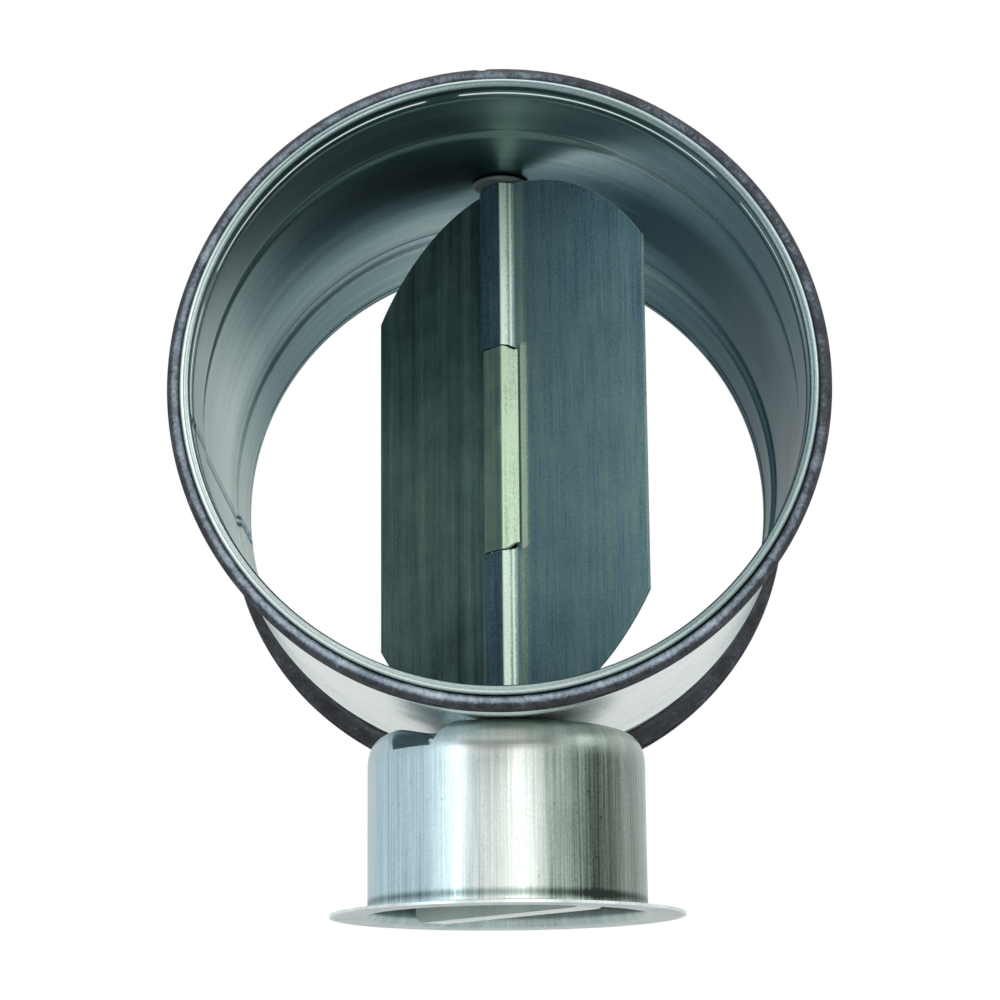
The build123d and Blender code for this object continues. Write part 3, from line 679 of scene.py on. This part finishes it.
def closedShell(front, back):
    # two facing skins, rows by columns, become one closed loop of columns, with the end rows drawn
    # together on the middle line
    loop = np.concatenate([front, back[:, ::-1]], 1)
    middle = (loop + loop[:, ::-1]) / 2
    return np.concatenate([middle[:1], loop, middle[-1:]], 0)


def fingerShell(shape, low, high, side, cornerCut):
    # the finger's section, a flat-topped ridge beside the plate, carried from one height to another;
    # its slit ends are eased near the free end
    sheet, top, flat = shape["sheet"], shape["top"], shape["flat"]
    skin = [(shape["plateStart"], sheet / 2), (shape["foot"], sheet / 2), (flat, top), (-flat, top),
            (-shape["end"], shape["endHeight"])]
    rounding = [shape["footRound"], shape["topRound"], shape["topRound"]]
    outer = fillIn(roundPath(skin, rounding, 7), 0.5)
    step = np.gradient(outer, axis=0)
    normal = np.stack([step[:, 1], -step[:, 0]], -1) / np.linalg.norm(step, axis=1)[:, None]
    inner = outer + normal * sheet * np.sign(-(normal @ [0, 1]).mean())
    heights = np.linspace(0, 1, 50)[:, None]
    skins = []
    for path in (outer, inner):
        u, v = path[:, 0][None], path[:, 1][None]
        cutLow, cutHigh = (cut * smoothStep((way * u - 4.2) / 3) for cut, way in cornerCut)
        z = (low + cutLow) + (high - cutHigh - low - cutLow) * heights
        skins.append(np.stack([u + 0 * z, side * v + 0 * z, z], -1))
    return closedShell(*skins)


def bladeHalf(name, turn, material, shape, outline, tones):
    # a plate with a round rim and a straight side, and three fingers, all turned about the spindle
    halfWidth, sideways = outline
    start, upright = shape["plateStart"], shape["upright"]
    u = np.concatenate([np.linspace(start, 12, 14), np.linspace(12, halfWidth - 0.2, 44)[1:], [halfWidth]])
    t = np.concatenate([[-1], np.linspace(-0.997, 0.997, 138), [1]])[:, None]
    z = t * (upright * np.sqrt(1 - (u / sideways) ** 2))[None]
    wave = 0.10 * np.sin(u / 9 + 0.02 * z) * smoothStep((u - 12) / 10)
    skins = [np.stack([u + 0 * z, wave + s * shape["sheet"] / 2, z], -1) for s in (1, -1)]
    m, g, top = shape["middle"], shape["gap"], shape["reach"]
    outwardCut, middleCut = (-shape["endCut"], 1), (shape["middleCut"], -1)
    grids = [
        (closedShell(*skins), True),
        (fingerShell(shape, m + g, top, -1, (outwardCut, (0, 1))), False),
        (fingerShell(shape, -top, -m - g, -1, ((0, 1), outwardCut)), False),
        (fingerShell(shape, -m + g, m - g, 1, (middleCut, middleCut)), True),
    ]
    shells = []
    for number, (grid, flip) in enumerate(grids):
        local, across, height = grid[..., 0], grid[..., 1], grid[..., 2]
        steps = np.hypot(np.diff(grid[2, :, 0]), np.diff(grid[2, :, 1]))
        columnLength = np.concatenate([[0], np.cumsum(steps)])
        columnLength = np.append(columnLength, columnLength[-1]) + shape["mapStep"] * number
        rowLength = grid[:, 0, 2] if number else np.linspace(-upright, upright, len(grid))
        tone, tint = tones(local, height, number), shape["tint"]
        if number == 0:  # the sheared edge is bright
            limit = upright * np.sqrt(np.clip(1 - (local / sideways) ** 2, 0, 1))
            sheared = (local > halfWidth - 0.1) | (np.abs(height) > 0.9985 * limit)
            tone, tint = tone + shape["edgeTone"] * sheared, tint + shape["edgeTint"] * sheared
        c, s = np.cos(turn), np.sin(turn)
        placed = np.stack([local * c - across * s, local * s + across * c, height + ductAxis], -1)
        shells.append({"points": placed, "close": (False, True), "flip": flip,
                       "along": (rowLength, columnLength), "tone": tone, "tint": tint})
    piece = shellPiece(name, shells, sharp=32)
    piece.data.materials.append(material)
    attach(piece, "blade")
    return piece


def dieLines(place, seed):
    # scoring left by the press tool: a few bright lines across the sloping side
    centres = np.random.default_rng(seed).uniform(3.7, 5.8, 7)
    return sum(np.exp(-((place[..., None] - centres) / 0.09) ** 2).T).T


def rightTones(u, z, number):
    # by distance u from the spindle and height z; number 0 is the plate, the others are fingers
    if number == 0:
        # a painted soft reflection, fixed to the plate, runs down beside the fingers, with a painted shadow
        # in the gap under the middle one's free edge, and the plate is darker towards the top and bottom
        middle = np.abs(z) < blade["middle"]
        soft = 0.66 * np.exp(-((u - 9.1) / 1.7) ** 2)
        beside = np.where(middle, soft, 0.24 * np.exp(-((u - 8.8) / 1.8) ** 2))
        joint = np.where(middle, 0.5 * hump(u, 7.7, 0.6), 0.0)
        return 0.55 + beside - joint - 0.10 * smoothStep((z - 20) / 45) - 0.05 * smoothStep((-z - 30) / 40)
    # painted light on the sloping side, a painted highlight at its corner and painted shade at its foot; the
    # die lines are the tool's scoring
    slope = smoothStep((u - 3.2) / 0.6)
    corner = 0.60 * np.exp(-((u - 3.9) / 0.30) ** 2)
    slopeLightAndScoring = 0.38 + 0.55 * np.clip(dieLines(u, 5), 0, 1)
    return 0.31 + corner + slope * slopeLightAndScoring - 0.12 * hump(u, 6.4, 0.9)


def leftTones(u, z, number):
    # as rightTones: the plate darkens up and down from a faint light, and the fingers have painted light on
    # their sloping side and a painted highlight at its corner
    if number == 0:
        light = 0.06 * hump(u, 36, 16) * smoothStep((40 - z) / 40)
        return 0.48 - 0.12 * smoothStep((z - 10) / 50) - 0.12 * smoothStep((-z - 30) / 30) + light
    slope = smoothStep((-u - 3.3) / 0.6)
    corner = 0.22 * np.exp(-((u + 3.9) / 0.35) ** 2)
    return 0.60 + corner + slope * 0.38


bladeRight = bladeHalf("bladeHalfRight", -bladeTurn, bladeSteelRight, blade, blade["right"], rightTones)
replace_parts(bladeRight, "blade_half_right")
bladeLeft = bladeHalf("bladeHalfLeft", np.pi - bladeTurn, bladeSteelLeft, blade, blade["left"], leftTones)
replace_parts(bladeLeft, "blade_half_left")
print("blade made")

studio = {
    "floorDrop": -66.0, "floorHalf": 3000.0, "ambient": 0.75, "ambientColour": "#f4f8fa", "white": "#ffffff",
    "floorColour": "#f2f3f3", "floorShare": 0.5,  # how much of the eye's floor is plain white
    "aim": Vector((0, 0, 0.1)),
}


def whiteToTheEye(tree, plain, white):
    # camera, glossy and transmission rays meet plain white, and all others the plain surface
    path = addNode(tree, "ShaderNodeLightPath")
    first = addNode(tree, "ShaderNodeMath", {"operation": "MAXIMUM"},
                    {0: path.outputs["Is Camera Ray"], 1: path.outputs["Is Glossy Ray"]})
    seen = addNode(tree, "ShaderNodeMath", {"operation": "MAXIMUM"},
                   {0: first.outputs[0], 1: path.outputs["Is Transmission Ray"]})
    return addNode(tree, "ShaderNodeMixShader", {}, {0: seen.outputs[0], 1: plain, 2: white}).outputs[0]


world = bpy.data.worlds.new("whiteStudio")
bpy.context.scene.world = world
world.use_nodes = True
sky = world.node_tree
sky.nodes.clear()
soft = addNode(sky, "ShaderNodeBackground", {},
               {"Color": toLinear(studio["ambientColour"]), "Strength": studio["ambient"]})
white = addNode(sky, "ShaderNodeBackground", {}, {"Color": toLinear(studio["white"]), "Strength": 1.0})
eyeSurface = whiteToTheEye(sky, soft.outputs[0], white.outputs[0])
addNode(sky, "ShaderNodeOutputWorld", {}, {"Surface": eyeSurface})

half = studio["floorHalf"]
floorPoints = np.array([[(-half, -half, 0), (-half, half, 0)], [(half, -half, 0), (half, half, 0)]])
floor = shellPiece("floor", [{"points": floorPoints + [0, 0, studio["floorDrop"]], "flip": True}])
floorMaterial, floorTree = startMaterial("paleFloor")
# matt and pale with the object's shadow; metal sees it white, the eye half white, and from beneath
# it isn't there
matt = addNode(floorTree, "ShaderNodeBsdfDiffuse", {}, {"Color": toLinear(studio["floorColour"])})
paleLight = addNode(floorTree, "ShaderNodeEmission", {},
                    {"Color": toLinear(studio["white"]), "Strength": 1.0})
ray = addNode(floorTree, "ShaderNodeLightPath")
share = addNode(floorTree, "ShaderNodeMath", {"operation": "MULTIPLY_ADD"},
                {0: ray.outputs["Is Camera Ray"], 1: studio["floorShare"], 2: ray.outputs["Is Glossy Ray"]})
topSide = addNode(floorTree, "ShaderNodeMixShader", {},
                  {0: share.outputs[0], 1: matt.outputs[0], 2: paleLight.outputs[0]})
clear = addNode(floorTree, "ShaderNodeBsdfTransparent")
beneath = addNode(floorTree, "ShaderNodeNewGeometry").outputs["Backfacing"]
oneSided = addNode(floorTree, "ShaderNodeMixShader", {},
                   {0: beneath, 1: topSide.outputs[0], 2: clear.outputs[0]})
addNode(floorTree, "ShaderNodeOutputMaterial", {}, {"Surface": oneSided.outputs[0]})
floor.data.materials.append(floorMaterial)


def softLight(name, place, size, power):
    # a rectangular panel that faces the object: place and size in metres, power in watts
    lamp = bpy.data.lights.new(name, "AREA")
    lamp.shape, lamp.size, lamp.size_y = "RECTANGLE", size[0], size[1]
    lamp.energy = power
    holder = bpy.data.objects.new(name, lamp)
    holder.location = place
    holder.rotation_euler = (studio["aim"] - Vector(place)).to_track_quat("-Z", "Y").to_euler()
    bpy.context.scene.collection.objects.link(holder)


softLight("frontPanel", (0.24, -1.00, 0.16), (0.34, 0.95), 2.2)
softLight("leftPanel", (-0.80, -0.86, 0.18), (0.26, 0.95), 1.9)
softLight("topLight", (0.0, 0.2, 1.6), (1.2, 1.2), 9)
softLight("sideFill", (1.5, -0.5, 0.9), (0.9, 0.9), 4)
print("studio lit")

bpy.context.scene.view_settings.view_transform = "Standard"
